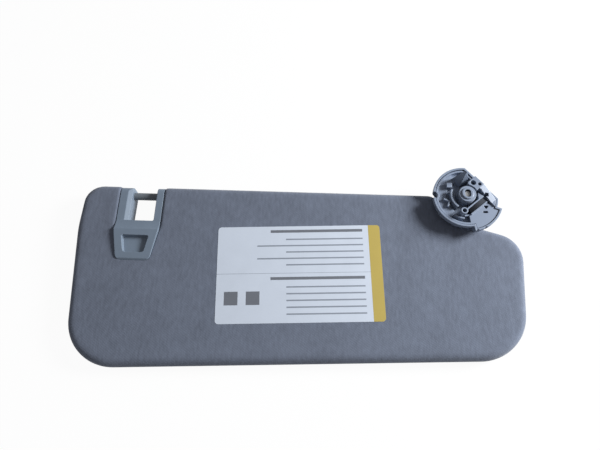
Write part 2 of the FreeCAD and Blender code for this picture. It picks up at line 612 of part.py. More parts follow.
def wall(x0, y0, x1, y1, t, z0, z1):
    """Straight upright wall of thickness t between two points."""
    length = math.hypot(x1 - x0, y1 - y0)
    piece = Part.makeBox(length, t, z1 - z0, V(0, -t / 2, z0))
    piece.rotate(V(0, 0, 0), V(0, 0, 1), math.degrees(math.atan2(y1 - y0, x1 - x0)))
    piece.translate(V(x0, y0, 0))
    return piece


# Places of the bracket's features, from the swivel axis
SOCKETS = ((6.2, 11.4, 2.4, CUP_OUT_Z), (11.9, 10.2, 1.6, -4.3))   # x, y, bore radius, foot
SOCKET_TOP = 6.0
TUBE = (-4.1, -16.6, 1.9, CUP_OUT_Z)         # the same for the screw tube
TUBE_WALL = 1.2
TUBE_TOP = 6.0
SIDE_BLOCK = (7.8, -3.0, 7.8)   # solid round the sockets: inner face, from and to along the flat side
SIDE_DECK = (12.8, -24.0)       # lower part of it, which slopes down to the lobe
SIDE_DECK_FOOT = (-20.0, 0.6)   # where the slope ends, and its height there
SIDE_POCKETS = ((16.4, 19.9, -0.6, 2.6), (11.0, 13.2, 3.4, 5.4))     # x from and to, y from and to
POCKET_FLOOR_Z = -2.0
GUSSET = ((10.6, -4.4), (15.6, -0.4), (10.6, 3.0))
GUSSET_TOP = 2.6
CHANNEL_FROM = (1.6, -15.6)
CHANNEL_TO = (16.9, -2.6)
CHANNEL_W = 4.4
CHANNEL_WALL = 1.3
CHANNEL_TOPS = (0.6, 2.6)       # wall towards the lobe, wall towards the spigot
DECK_R = 10.0                   # inner radius of the deck over the lobe
DECK_POCKETS = (((15.6, -8.2, 0.5), (17.6, -11.8, 0.5), (20.8, -8.2, 0.5)),
                ((14.6, -13.6, 0.8), (14.6, -15.6, 0.8), (19.2, -15.6, 0.8), (19.2, -13.6, 0.8)))
HORN_FOOT = ((-13.4, 18.6), (-4.2, 10.8), (4.6, 15.0))
HORN_TIP = (-1.6, 18.4, 18.4)
HORN_BLUNT = 0.14               # size of the horn's top against its foot
LEFT_DECK = (17.2, 116.0, 232.0, -2.6)       # inner radius, from and to angle, height
RING_RIB = (13.0, 14.6, 156.0, 234.0, 2.6)   # radii, angles, height
FOOT_RIB = (21.2, 22.7, 237.0, 262.0, 0.2)
PAD = (-17.0, -12.2, 8.0, 12.8, 1.6)         # x, y, height
HOOK_RIBS = ((-20.5, -3.2, -14.9, -5.6), (-15.2, -5.0, -17.0, -10.6))
HOOK_RIB_TOP = 0.6
TUBE_WEB = (-2.4, -18.8, 5.0, -17.6)
RIB_WALL = 1.5


def horn():
    """Tall three-sided guide horn that finds the roof hole first."""
    foot = [V(x, y, BRACKET_FLOOR_Z - 1) for x, y in HORN_FOOT]
    tip = V(*HORN_TIP)
    top = [tip + (p - tip) * HORN_BLUNT for p in foot]
    faces = [Part.Face(Part.makePolygon(foot + foot[:1])), Part.Face(Part.makePolygon(top + top[:1]))]
    for i in range(3):
        j = (i + 1) % 3
        faces.append(Part.Face(Part.makePolygon([foot[i], foot[j], top[j], top[i], foot[i]])))
    return Part.makeSolid(Part.makeShell(faces))


def side_block(z0):
    """Solid along the flattened side: high round the sockets, then sloping to the lobe."""
    inner, low, high = SIDE_BLOCK
    deck_inner, end = SIDE_DECK
    block = box(inner, FAR, low, high, z0, SOCKET_TOP)
    block = block.makeFillet(2.0, [e for e in block.Edges if e.BoundBox.XMax < inner + 0.01 and e.BoundBox.ZLength > 1])
    slope = side_prism([(end, z0), (low + 1, z0), (low + 1, SOCKET_TOP), (low, SOCKET_TOP),
                        SIDE_DECK_FOOT, (end, SIDE_DECK_FOOT[1])], deck_inner, FAR)
    block = fuse([block, slope])
    block.rotate(V(0, 0, 0), V(0, 0, 1), CHORD_ANGLE)
    return block


def channel_side(offset):
    """Ends of a line beside the channel's middle line, positive towards the spigot."""
    ux, uy = CHANNEL_TO[0] - CHANNEL_FROM[0], CHANNEL_TO[1] - CHANNEL_FROM[1]
    length = math.hypot(ux, uy)
    ox, oy = -uy / length * offset, ux / length * offset
    return CHANNEL_FROM[0] + ox, CHANNEL_FROM[1] + oy, CHANNEL_TO[0] + ox, CHANNEL_TO[1] + oy


def lobe_deck():
    """Deck over the lobe, from the channel's outer wall to the rim, with two pockets."""
    deck = sector(DECK_R, FAR, LOBE_FROM - 4, LOBE_TO + 2, BRACKET_RIM_TOP - DECK_T, BRACKET_RIM_TOP)
    x0, y0, x1, y1 = channel_side(-(CHANNEL_W + CHANNEL_WALL) / 2)
    beyond = box(-FAR, FAR, -FAR, 0, CUP_OUT_Z, CUP_DEPTH)
    beyond.rotate(V(0, 0, 0), V(0, 0, 1), math.degrees(math.atan2(y1 - y0, x1 - x0)))
    beyond.translate(V(x0, y0, 0))
    pockets = [prism(outline, BRACKET_RIM_TOP - DECK_T - 1, BRACKET_RIM_TOP + 1) for outline in DECK_POCKETS]
    return deck.common(beyond).cut(pockets)


def mount_bracket():
    """Load-bearing moulding inside the cup, with the spigot and the roof fixings."""
    base_z = CUP_FLOOR_Z
    inset = CUP_WALL + BRACKET_GAP
    round_r = CUP_ROUND - inset
    tray = mount_block(inset, base_z, BRACKET_RIM_TOP, round_r)
    hollow = mount_block(inset + BRACKET_WALL, BRACKET_FLOOR_Z, 2.0, round_r - BRACKET_WALL)
    envelope = mount_block(inset, base_z, FAR, round_r)
    f = BRACKET_FLOOR_Z - 1
    parts = [tray.cut(hollow), lobe_deck(), side_block(f), horn()]
    for offset, top in zip((-1, 1), CHANNEL_TOPS):
        parts.append(wall(*channel_side(offset * (CHANNEL_W + CHANNEL_WALL) / 2), CHANNEL_WALL, f, top))
    r0, a0, a1, top = LEFT_DECK
    parts.append(sector(r0, FAR, a0, a1, f, top))
    for r0, r1, a0, a1, top in (RING_RIB, FOOT_RIB):
        parts.append(sector(r0, r1, a0, a1, f, top))
    x0, x1, y0, y1, top = PAD
    parts.append(box(x0, x1, y0, y1, f, top))
    parts += [wall(*ends, RIB_WALL, f, HOOK_RIB_TOP) for ends in HOOK_RIBS]
    parts.append(wall(*TUBE_WEB, RIB_WALL, f, BRACKET_RIM_TOP))
    parts.append(prism([(x, y, 0.0) for x, y in GUSSET], f, GUSSET_TOP))
    x, y, r, foot = TUBE
    parts.append(upright(r + TUBE_WALL, x, y, f, TUBE_TOP))
    parts.append(key_post(RIM_NOTCH_R + BRACKET_GAP + BRACKET_WALL, f, BRACKET_RIM_TOP))
    body = fuse(parts).common(envelope)
    body = body.cut(upright(SPIGOT_R + SPIGOT_MOAT, 0, 0, BRACKET_FLOOR_Z, FAR))
    body = fuse([body, upright(SPIGOT_R, 0, 0, base_z, SPIGOT_TOP)])
    cuts = [upright(SWIVEL_BUSH_R, 0, 0, base_z - 1, SWIVEL_BUSH_TOP),
            upright(NUT_CAVITY_R, 0, 0, SWIVEL_BUSH_TOP, SPIGOT_TOP + 1)]
    cuts += [upright(r, x, y, foot, FAR) for x, y, r, foot in SOCKETS + (TUBE,)]
    cuts += [box(x0, x1, y0, y1, POCKET_FLOOR_Z, FAR) for x0, x1, y0, y1 in SIDE_POCKETS]
    return body.cut(cuts + rim_notches(BRACKET_GAP))


def spigot_cap():
    """Cap pressed into the spigot, with the slot that shows the rod's end."""
    lip = upright(NUT_CAVITY_R, 0, 0, SPIGOT_TOP - CAP_LIP, SPIGOT_TOP)
    flange = upright(SPIGOT_R - 0.3, 0, 0, SPIGOT_TOP, SPIGOT_TOP + CAP_FLANGE_T)
    step = upright(CAP_STEP_R, 0, 0, SPIGOT_TOP, CAP_TOP)
    step = step.makeFillet(0.8, [e for e in step.Edges if e.Closed and e.BoundBox.ZMin > CAP_TOP - 0.01])
    inside = upright(CAP_STEP_R - CAP_WALL, 0, 0, SPIGOT_TOP - 2 * CAP_LIP, CAP_TOP - CAP_ROOF)
    w, h = CAP_SLOT[0] / 2, CAP_SLOT[1] / 2
    slot = prism([(-w, h, w * 0.9), (-w, -h, w * 0.9), (w, -h, w * 0.9), (w, h, w * 0.9)], 0, CAP_TOP + 1)
    return fuse([lip, flange, step]).cut([inside, slot])


def swivel_bush():
    """Flanged bush between rod and bracket."""
    sleeve = upright(SWIVEL_BUSH_R, 0, 0, CUP_OUT_Z, SWIVEL_BUSH_TOP)
    flange = upright(SWIVEL_BUSH_FLANGE_R, 0, 0, CUP_OUT_Z - SWIVEL_BUSH_FLANGE_T, CUP_OUT_Z)
    return fuse([sleeve, flange]).cut(upright(ROD_R + RUNNING_GAP, 0, 0, CUP_OUT_Z - 2, SWIVEL_BUSH_TOP + 1))


def ring_washer(r0, r1, z0, t):
    return upright(r1, 0, 0, z0, z0 + t).cut(upright(r0, 0, 0, z0 - 1, z0 + t + 1))


def wave_washer():
    return ring_washer(ROD_R + 0.4, SWIVEL_BUSH_R, SWIVEL_BUSH_TOP, WASHER_T)


def push_nut():
    """Sprung nut pressed on the rod, with four slits that leave gripping teeth."""
    z0 = SWIVEL_BUSH_TOP + WASHER_T + 0.1
    nut = ring_washer(ROD_R, NUT_R, z0, NUT_T)
    slits = []
    for i in range(4):
        slit = box(ROD_R - 0.5, ROD_R + 1.2, -0.4, 0.4, z0 - 1, z0 + NUT_T + 1)
        slit.rotate(V(0, 0, 0), V(0, 0, 1), 45 + 90 * i)
        slits.append(slit)
    return nut.cut(slits)


def snap_clip():
    """Spring steel strip in the channel, bowed up between its two ends."""
    length = math.hypot(CHANNEL_TO[0] - CHANNEL_FROM[0], CHANNEL_TO[1] - CHANNEL_FROM[1]) - 1.6
    z = BRACKET_FLOOR_Z
    t = 0.8
    low, high = z, 2.2
    outer = Part.Wire([
        Part.LineSegment(V(0, 0, low), V(0, 0, high - 1)).toShape(),
        Part.Arc(V(0, 0, high - 1), V(length / 2, 0, high + 0.6), V(length, 0, high - 1)).toShape(),
        Part.LineSegment(V(length, 0, high - 1), V(length, 0, low)).toShape(),
        Part.LineSegment(V(length, 0, low), V(length - t, 0, low)).toShape(),
        Part.LineSegment(V(length - t, 0, low), V(length - t, 0, high - 1 - t)).toShape(),
        Part.Arc(V(length - t, 0, high - 1 - t), V(length / 2, 0, high + 0.6 - t), V(t, 0, high - 1 - t)).toShape(),
        Part.LineSegment(V(t, 0, high - 1 - t), V(t, 0, low)).toShape(),
        Part.LineSegment(V(t, 0, low), V(0, 0, low)).toShape(),
    ])
    width = CHANNEL_W - 0.6
    clip = Part.Face(outer).extrude(V(0, width, 0))
    clip.translate(V(0.8, -width / 2, 0))
    angle = math.degrees(math.atan2(CHANNEL_TO[1] - CHANNEL_FROM[1], CHANNEL_TO[0] - CHANNEL_FROM[0]))
    clip.rotate(V(0, 0, 0), V(0, 0, 1), angle)
    clip.translate(V(CHANNEL_FROM[0], CHANNEL_FROM[1], 0))
    return clip


# Label

def label_sticker():
    """Thin printed film bonded to the front fabric, in line with the free edge."""
    w, h, r = LABEL_W / 2, LABEL_H / 2, LABEL_CORNER_R
    film = prism([(-w, h, r), (-w, -h, r), (w, -h, r), (w, h, r)], 0, LABEL_T)
    film.rotate(V(0, 0, 0), V(0, 0, 1), LABEL_TILT)
    film.rotate(V(0, 0, 0), V(1, 0, 0), math.degrees(math.atan(FRONT_SLOPE)))
    film.translate(V(LABEL_CENTRE[0], LABEL_CENTRE[1], front_z(LABEL_CENTRE[1])))
    return film


def main():
    front_cover, rear_cover, front_core, rear_core = shells()
    nodes = {
        "front_cover": front_cover,
        "rear_cover": rear_cover,
        "front_core": front_core,
        "rear_core": rear_core,
        "hook_bezel": hook_bezel(),
        "hook_bezel_rear": hook_bezel_rear(),
        "hook_bar": hook_bar(),
        "label_sticker": label_sticker(),
        "torque_clip": torque_clip(),
        "clip_housing": clip_housing(),
        "clip_screw_left": clip_screw(SCREW_XS[0]),
        "clip_screw_right": clip_screw(SCREW_XS[1]),
        "outer_bush": panel_bush(*OUTER_BUSH_X),
        "inner_bush": panel_bush(*INNER_BUSH_X),
        "pivot_rod": pivot_rod(),
        "push_nut": push_nut(),
        "elbow_cover": elbow_cover(),
        "mount_cup": mount_cup(),
        "mount_bracket": mount_bracket(),
        "spigot_cap": spigot_cap(),
        "swivel_bush": swivel_bush(),
        "wave_washer": wave_washer(),
        "snap_clip": snap_clip(),
    }
    os.makedirs("parts", exist_ok=True)
    for name, shape in nodes.items():
        shape.exportStep(f"parts/{name}.step")
        print(name, len(shape.Solids), shape.isValid(), round(shape.Volume, 1))


main()
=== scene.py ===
import math

import bpy
import numpy as np
from mathutils import Matrix, Vector, noise
from mathutils.geometry import delaunay_2d_cdt


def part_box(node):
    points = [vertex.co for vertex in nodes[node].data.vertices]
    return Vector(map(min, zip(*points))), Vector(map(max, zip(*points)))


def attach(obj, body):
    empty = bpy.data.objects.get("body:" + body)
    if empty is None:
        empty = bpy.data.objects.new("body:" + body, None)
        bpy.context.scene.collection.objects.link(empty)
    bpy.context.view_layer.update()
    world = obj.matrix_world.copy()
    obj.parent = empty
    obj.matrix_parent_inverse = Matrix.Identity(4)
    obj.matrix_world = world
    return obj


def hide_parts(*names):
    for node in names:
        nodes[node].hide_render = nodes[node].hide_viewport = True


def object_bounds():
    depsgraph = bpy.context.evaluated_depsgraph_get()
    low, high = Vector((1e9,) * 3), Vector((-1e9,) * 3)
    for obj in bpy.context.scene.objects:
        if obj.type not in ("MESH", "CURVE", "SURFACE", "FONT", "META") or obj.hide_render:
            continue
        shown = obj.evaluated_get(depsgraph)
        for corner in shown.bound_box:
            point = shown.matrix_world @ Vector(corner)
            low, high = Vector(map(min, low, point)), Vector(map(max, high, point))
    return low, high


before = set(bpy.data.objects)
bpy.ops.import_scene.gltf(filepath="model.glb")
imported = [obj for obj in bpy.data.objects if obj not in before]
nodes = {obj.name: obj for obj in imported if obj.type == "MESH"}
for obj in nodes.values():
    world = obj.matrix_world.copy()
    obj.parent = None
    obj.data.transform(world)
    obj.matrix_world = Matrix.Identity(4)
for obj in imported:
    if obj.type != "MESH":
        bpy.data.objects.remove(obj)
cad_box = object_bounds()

# Front cloth: the woven headliner cloth over the label side. It is cut flat, bonded over the
# moulded shell, carried round the long edges and tucked into the seam between the two shells.
# Round the hook bezel its cut edge rolls down into a narrow gap.

PANEL_CORNERS = (            # x, y and rounding of the closed panel's outline
    (-0.3558, 0.0074, 0.018),
    (-0.3576, -0.0350, 0.120),
    (-0.3472, -0.1610, 0.043),
    (0.0470, -0.1420, 0.044),
    (0.0546, -0.0348, 0.025),
    (-0.0205, -0.0145, 0.0085),
    (-0.0205, 0.0074, 0.010),
)
FRONT_AT_ROD_Z = -0.0120     # front face over the rod
FRONT_SLOPE = 0.0054 / 0.1610
EDGE_ROUND = 0.0066
SEAM_ROLL = 0.0007           # cloth turning in at the seam between the shells
SEAM_HALF_GAP = 0.00015
CLOTH_STEP = 0.0032          # spacing of the cloth's mesh
FLAT_STEPS = 5               # rows of mesh round the edge

BEZEL_SIDES_X = (-0.3216, -0.2806)
SHOULDER_Y = -0.0375
SHIELD_TIP_Y = -0.0664
SHIELD_TIP_HALF_W = 0.0152
LEG_SEAM = 0.0005
SHIELD_SEAM = 0.0002
SHOULDER_ROUND = 0.0142
TIP_ROUND = 0.0057
HOOK_MID_X = sum(BEZEL_SIDES_X) / 2
ABOVE_TOP = 0.060            # outlines that are open towards the top edge end this far above it
FRONT_HOLE = (
    (BEZEL_SIDES_X[0] - LEG_SEAM, ABOVE_TOP, 0.0),
    (BEZEL_SIDES_X[0] - LEG_SEAM, SHOULDER_Y, SHOULDER_ROUND),
    (HOOK_MID_X - SHIELD_TIP_HALF_W - SHIELD_SEAM, SHIELD_TIP_Y - SHIELD_SEAM, TIP_ROUND),
    (HOOK_MID_X + SHIELD_TIP_HALF_W + SHIELD_SEAM, SHIELD_TIP_Y - SHIELD_SEAM, TIP_ROUND),
    (BEZEL_SIDES_X[1] + LEG_SEAM, SHOULDER_Y, SHOULDER_ROUND),
    (BEZEL_SIDES_X[1] + LEG_SEAM, ABOVE_TOP, 0.0),
)
ROLL_WIDTH = 0.0026          # cloth rolling down along the legs
ROLL_DEPTH = 0.0017
TUCK_DEPTH = 0.0012
SHIELD_ROLL = (0.0004, 0.0001)         # the same roll along the shield, width and depth
LEG_FADE = (0.002, 0.008)    # the roll changes from the one to the other over this stretch
SWELL_BROAD = 0.00016        # unevenness of the bonded cloth
SWELL_FINE = 0.00004
CALM_EDGE = 0.012            # it dies away towards an edge over this distance


def rounded_loop(corners, step):
    """Points and outward directions along a closed, anticlockwise outline with round corners."""
    spots = [Vector(c[:2]) for c in corners]
    points, outward = [], []
    count = len(corners)
    bends = []
    for i, (x, y, r) in enumerate(corners):
        back = (spots[i - 1] - spots[i]).normalized()
        ahead = (spots[(i + 1) % count] - spots[i]).normalized()
        half = back.angle(ahead) / 2
        reach = r / math.tan(half)
        turn = (-back).cross(ahead)
        bends.append((spots[i] + back * reach, spots[i] + ahead * reach, -back, ahead, r, turn))
    for i, (start, end, going, leaving, r, turn) in enumerate(bends):
        side = Vector((going.y, -going.x))
        if r > 0:
            left = 1 if turn > 0 else -1
            centre = start - side * r * left
            sweep = going.angle(leaving)
            parts = max(3, math.ceil(sweep * r / step))
            for k in range(parts + 1):
                a = math.atan2(side.y, side.x) + left * sweep * k / parts
                away = Vector((math.cos(a), math.sin(a)))
                points.append(centre + away * r * left)
                outward.append(away)
        else:
            points.append(start)
            outward.append(side)
        following = bends[(i + 1) % count][0]
        run = following - end
        away = Vector((leaving.y, -leaving.x))
        parts = max(1, round(run.length / step))
        for k in range(1, parts):
            points.append(end + run * k / parts)
            outward.append(away)
    return np.array(points), np.array(outward)


def reach_from(loop, points):
    """Signed distance of points from a closed loop, outside positive, and the way straight out."""
    a, b = loop, np.roll(loop, -1, 0)
    edge = b - a
    length2 = (edge ** 2).sum(1) + 1e-18
    distance = np.empty(len(points))
    out = np.empty((len(points), 2))
    for i, p in enumerate(points):
        share = np.clip(((p - a) * edge).sum(1) / length2, 0, 1)
        foot = a + edge * share[:, None]
        gap2 = ((p - foot) ** 2).sum(1)
        k = int(gap2.argmin())
        side = edge[k, 1] * (p[0] - a[k, 0]) - edge[k, 0] * (p[1] - a[k, 1])
        sign = 1.0 if side > 0 else -1.0
        distance[i] = sign * math.sqrt(gap2[k])
        if gap2[k] > 1e-14:
            out[i] = (p - foot[k]) * sign / math.sqrt(gap2[k])
        else:
            out[i] = np.array((edge[k, 1], -edge[k, 0])) / math.sqrt(length2[k])
    return distance, out


def front_height(y):
    return FRONT_AT_ROD_Z + FRONT_SLOPE * y


def leg_share(y):
    """1 along the bezel's legs, 0 along its shield."""
    t = np.clip((y - SHOULDER_Y + LEG_FADE[0]) / LEG_FADE[1], 0, 1)
    return t * t * (3 - 2 * t)


def swell(point):
    """Slight unevenness of bonded cloth, always inwards."""
    broad = noise.noise(Vector((point[0] * 14, point[1] * 17, 0.3)))
    fine = noise.noise(Vector((point[0] * 55, point[1] * 40, 2.7)))
    return -SWELL_BROAD * (1 + 0.8 * broad) - SWELL_FINE * (1 + fine)


def cloth_skin(name, height, facing, seam_z, hole, roll, quiet):
    """One cover as a thin sheet: a flat cut folded round the panel's edge, open at the hook.

    height gives the flat face at y, facing is 1 for the front and -1 for the back, roll is the
    width and depth of the cut edge's roll along the hole, quiet says where the cloth lies dead flat.
    """
    outline, outward = rounded_loop(PANEL_CORNERS, CLOTH_STEP)
    bend_line = outline - outward * EDGE_ROUND
    quarter = EDGE_ROUND * math.pi / 2
    wall = np.array([facing * (height(p[1]) - seam_z) - EDGE_ROUND - SEAM_HALF_GAP for p in outline])
    turn_in = min(SEAM_ROLL, wall.min() * 0.9)
    reach = quarter + wall - turn_in + turn_in * math.pi / 2
    rim = bend_line + outward * reach[:, None]
    hole_loop, hole_out = rounded_loop(hole, CLOTH_STEP * 0.8)
    cut_edge = hole_loop - hole_out * TUCK_DEPTH

    top_y = bend_line[:, 1].max()
    on_cut = [p for p in cut_edge if p[1] < top_y]
    rim_y = rim[:, 1].max()
    left_x, right_x = on_cut[0][0], on_cut[-1][0]
    over_hook = (rim[:, 1] > rim_y - 1e-5) & (rim[:, 0] > left_x - 5e-4) & (rim[:, 0] < right_x + 5e-4)
    keep = [i for i in range(len(rim)) if not over_hook[i]]
    beside = [i for i in keep if rim[i, 1] > rim_y - 1e-5 and rim[i, 0] < left_x]
    start = keep.index(max(beside, key=lambda i: rim[i, 0]))
    around = [rim[i] for i in keep[start:] + keep[:start]]
    right_down = [np.array((right_x, y)) for y in np.linspace(rim_y, top_y, FLAT_STEPS + 3)]
    left_up = [np.array((left_x, y)) for y in np.linspace(top_y, rim_y, FLAT_STEPS + 3)]
    round_hook = [p for p in on_cut[::-1] if p[1] < top_y - 1e-4]
    border = around + right_down + round_hook + left_up
    border = np.array(border)

    inner = []
    row = 0
    low, high = outline.min(0), outline.max(0)
    y = low[1]
    while y < high[1]:
        x = low[0] + (row % 2) * CLOTH_STEP / 2
        while x < high[0]:
            inner.append((x, y))
            x += CLOTH_STEP
        y += CLOTH_STEP * math.sqrt(0.75)
        row += 1
    inner = np.array(inner)
    inner = inner[reach_from(bend_line, inner)[0] < -CLOTH_STEP * 0.6]
    rings = [inner]
    for k in range(FLAT_STEPS + 1):
        rings.append(bend_line + outward * quarter * k / FLAT_STEPS)
    rings.append(bend_line + outward * (quarter + wall - turn_in)[:, None])
    rings.append(bend_line + outward * (quarter + wall - turn_in * 0.2)[:, None])
    spread = np.concatenate(rings)
    off_hole = reach_from(hole_loop, spread)[0]
    spread = spread[off_hole > roll[0] + CLOTH_STEP * 0.4]
    rows = [spread]
    for k in range(0, 5):
        share = 1 - math.cos(math.pi / 2 * k / 4)
        line = hole_loop + hole_out * roll[0] * share
        rows.append(line[line[:, 1] < rim_y - 2e-4])
    flat = np.concatenate(rows)
    inside = reach_from(border, flat)[0] < -1e-4
    flat = np.concatenate([border, flat[inside]])
    order = list(range(len(border)))
    made = delaunay_2d_cdt([Vector(p) for p in flat], [], [order], 1, 1e-7)
    flat = np.array([tuple(p) for p in made[0]])
    faces = [tuple(f) for f in made[2]]

    from_hole, way = reach_from(hole_loop, flat)
    beyond = np.clip(-from_hole, 0, None)
    flat_at = flat + way * beyond[:, None]
    from_bend, out = reach_from(bend_line, flat_at)
    spots = []
    for p, t, n, e, deep in zip(flat_at, from_bend, out, from_hole, beyond):
        share = float(leg_share(p[1]))
        width = roll[0] * share + SHIELD_ROLL[0] * (1 - share)
        depth = roll[1] * share + SHIELD_ROLL[1] * (1 - share)
        drop = deep
        if e < width:
            drop += depth * (1 - math.sqrt(max(0.0, 1 - (1 - max(e, 0.0) / width) ** 2)))
        if t <= 0:
            spot = Vector((p[0], p[1], height(p[1])))
            normal = Vector((0, 0, facing))
            calm = min(1.0, max(0.0, -t / CALM_EDGE)) * min(1.0, max(0.0, e / CALM_EDGE)) * quiet(p)
            spot += normal * swell(p) * calm
        else:
            foot = p - n * t
            angle = min(t / EDGE_ROUND, math.pi / 2)
            xy = foot + n * EDGE_ROUND * math.sin(angle)
            level = height(xy[1])
            down = EDGE_ROUND * (1 - math.cos(angle))
            room = facing * (level - seam_z) - EDGE_ROUND - SEAM_HALF_GAP - turn_in
            past = t - quarter
            if past > 0:
                down += min(past, room)
                curl = min(max(0.0, past - room) / turn_in, math.pi / 2)
                down += turn_in * math.sin(curl)
                xy = xy - n * turn_in * (1 - math.cos(curl))
            spot = Vector((xy[0], xy[1], level - facing * down))
            normal = Vector((n[0] * math.sin(angle), n[1] * math.sin(angle), facing * math.cos(angle)))
        spots.append(spot - normal * drop)
    if facing < 0:
        faces = [f[::-1] for f in faces]
    mesh = bpy.data.meshes.new(name)
    mesh.from_pydata(spots, [], faces)
    mesh.polygons.foreach_set("use_smooth", [True] * len(mesh.polygons))
    mesh.update()
    piece = bpy.data.objects.new(name, mesh)
    bpy.context.scene.collection.objects.link(piece)
    size = flat.max(0) - flat.min(0)
    area = sum(abs((flat[b][0] - flat[a][0]) * (flat[c][1] - flat[a][1])
                   - (flat[c][0] - flat[a][0]) * (flat[b][1] - flat[a][1])) / 2 for a, b, c in faces)
    return piece, (float(size[0]), float(size[1])), float(area)


def put(tree, kind, inputs=None, **settings):
    """Adds a shader node; inputs are values or the outputs of other nodes, by socket name."""
    made = tree.nodes.new("ShaderNode" + kind)
    for key, value in settings.items():
        setattr(made, key, value)
    for key, value in (inputs or {}).items():
        if isinstance(value, bpy.types.NodeSocket):
            tree.links.new(value, made.inputs[key])
        else:
            made.inputs[key].default_value = value
    return made


def blank_finish(name):
    """A new material and its node tree, with nothing but an output in it."""
    material = bpy.data.materials.new(name)
    material.use_nodes = True
    tree = material.node_tree
    tree.nodes.clear()
    return material, tree, tree.nodes.new("ShaderNodeOutputMaterial")


def srgb(red, green, blue):
    """A colour given as it looks on screen, 0 to 255, as the linear values that nodes take."""
    def linear(v):
        v = v / 255
        return v / 12.92 if v <= 0.04045 else ((v + 0.055) / 1.055) ** 2.4
    return (linear(red), linear(green), linear(blue), 1.0)


CLOTH_LIGHT = srgb(112, 120, 136)
CLOTH_DARK = srgb(89, 95, 108)
TWILL_PITCH = 0.0013


def cloth_finish():
    """Fine twill with a short nap: diagonal ribs, a mottle drawn out along the grain."""
    material, tree, out = blank_finish("visor_cloth")
    place = put(tree, "TexCoord").outputs["Object"]
    ribs = []
    for turn, pitch in ((0.62, TWILL_PITCH), (-0.95, TWILL_PITCH * 1.35)):
        turned = put(tree, "Mapping", {"Vector": place, "Rotation": (0.35, 0.3, turn)})
        ribs.append(put(tree, "TexWave", {
            "Vector": turned.outputs[0], "Scale": 2 * math.pi / 20 / pitch, "Distortion": 2.2,
            "Detail": 2.0, "Detail Scale": 1.4, "Detail Roughness": 0.6}).outputs["Fac"])
    weave = put(tree, "Math", {0: ribs[0], 1: ribs[1]}, operation="MULTIPLY").outputs[0]
    grain = put(tree, "Mapping", {"Vector": place, "Scale": (1.0, 0.30, 1.0), "Rotation": (0, 0, 0.06)})
    streaks = put(tree, "TexNoise", {"Vector": grain.outputs[0], "Scale": 420.0, "Detail": 3.0,
                                     "Roughness": 0.65}).outputs["Fac"]
    patches = put(tree, "TexNoise", {"Vector": place, "Scale": 34.0, "Detail": 4.0,
                                     "Roughness": 0.6}).outputs["Fac"]
    fuzz = put(tree, "TexNoise", {"Vector": place, "Scale": 1900.0, "Detail": 2.0}).outputs["Fac"]
    mixed = put(tree, "Math", {0: weave, 1: 0.10, 2: 0.0}, operation="MULTIPLY_ADD")
    for part, share in ((streaks, 0.72), (patches, 0.40), (fuzz, 0.30)):
        mixed = put(tree, "Math", {0: part, 1: share, 2: mixed.outputs[0]}, operation="MULTIPLY_ADD")
    spread = put(tree, "MapRange", {"Value": mixed.outputs[0], "From Min": 0.45, "From Max": 1.02})
    colour = put(tree, "Mix", {"Factor": spread.outputs[0], "A": CLOTH_DARK, "B": CLOTH_LIGHT},
                 data_type="RGBA")
    relief = put(tree, "Math", {0: weave, 1: 0.4, 2: fuzz}, operation="MULTIPLY_ADD")
    bump = put(tree, "Bump", {"Strength": 0.35, "Distance": 0.0003, "Height": relief.outputs[0]})
    skin = put(tree, "BsdfPrincipled", {
        "Base Color": colour.outputs["Result"], "Roughness": 0.93, "Normal": bump.outputs[0],
        "Sheen Weight": 0.22, "Sheen Roughness": 0.45, "Specular IOR Level": 0.25})
    tree.links.new(skin.outputs[0], out.inputs["Surface"])
    return material


LABEL_CENTRE = Vector((-0.1497, -0.0735))
LABEL_SIZE = (0.148, 0.0885)
LABEL_TILT = math.radians(2.8)
PRESSED_FLAT = (0.001, 0.010)          # cloth lies flat this far round it, then eases off


def off_label(point):
    """0 under the label, where the cloth is pressed flat, rising to 1 around it."""
    across = Matrix.Rotation(-LABEL_TILT, 2) @ (Vector(point) - LABEL_CENTRE)
    beyond = max(abs(across.x) - LABEL_SIZE[0] / 2, abs(across.y) - LABEL_SIZE[1] / 2)
    return min(1.0, max(0.0, (beyond - PRESSED_FLAT[0]) / PRESSED_FLAT[1]))


cloth = cloth_finish()
seam_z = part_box("front_cover")[0].z
front_cloth, front_flat, front_area = cloth_skin(
    "front_cloth", front_height, 1, seam_z, FRONT_HOLE, (ROLL_WIDTH, ROLL_DEPTH), off_label)
front_cloth.data.materials.append(cloth)
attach(front_cloth, "visor")
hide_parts("front_cover")

# Rear cloth: the same cloth over the side that lies on the table. It meets the front cloth in
# the seam round the edge and ends at the bezel's plain rear half.

REAR_FOOT_Y = -0.0370
REAR_HOLE_ROUND = 0.0045
REAR_ROLL = (0.0012, 0.0009)
REAR_HOLE = (
    (BEZEL_SIDES_X[0] - LEG_SEAM, ABOVE_TOP, 0.0),
    (BEZEL_SIDES_X[0] - LEG_SEAM, REAR_FOOT_Y - LEG_SEAM, REAR_HOLE_ROUND),
    (BEZEL_SIDES_X[1] + LEG_SEAM, REAR_FOOT_Y - LEG_SEAM, REAR_HOLE_ROUND),
    (BEZEL_SIDES_X[1] + LEG_SEAM, ABOVE_TOP, 0.0),
)
rear_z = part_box("rear_cover")[0].z


def rear_height(y):
    return rear_z


rear_cloth, rear_flat, rear_area = cloth_skin(
    "rear_cloth", rear_height, -1, seam_z, REAR_HOLE, REAR_ROLL, lambda point: 0.0)
rear_cloth.data.materials.append(cloth)
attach(rear_cloth, "visor")
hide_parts("rear_cover")

# Hook bezel, its rear half and the bar: injection moulded in a fine-grained plastic a little
# bluer than the cloth. The two halves clamp the darker, smooth bar that the roof hook snaps on.

BEZEL_COLOUR = srgb(112, 125, 140)
BAR_COLOUR = srgb(108, 115, 122)
SHELL_COLOUR = srgb(62, 64, 68)


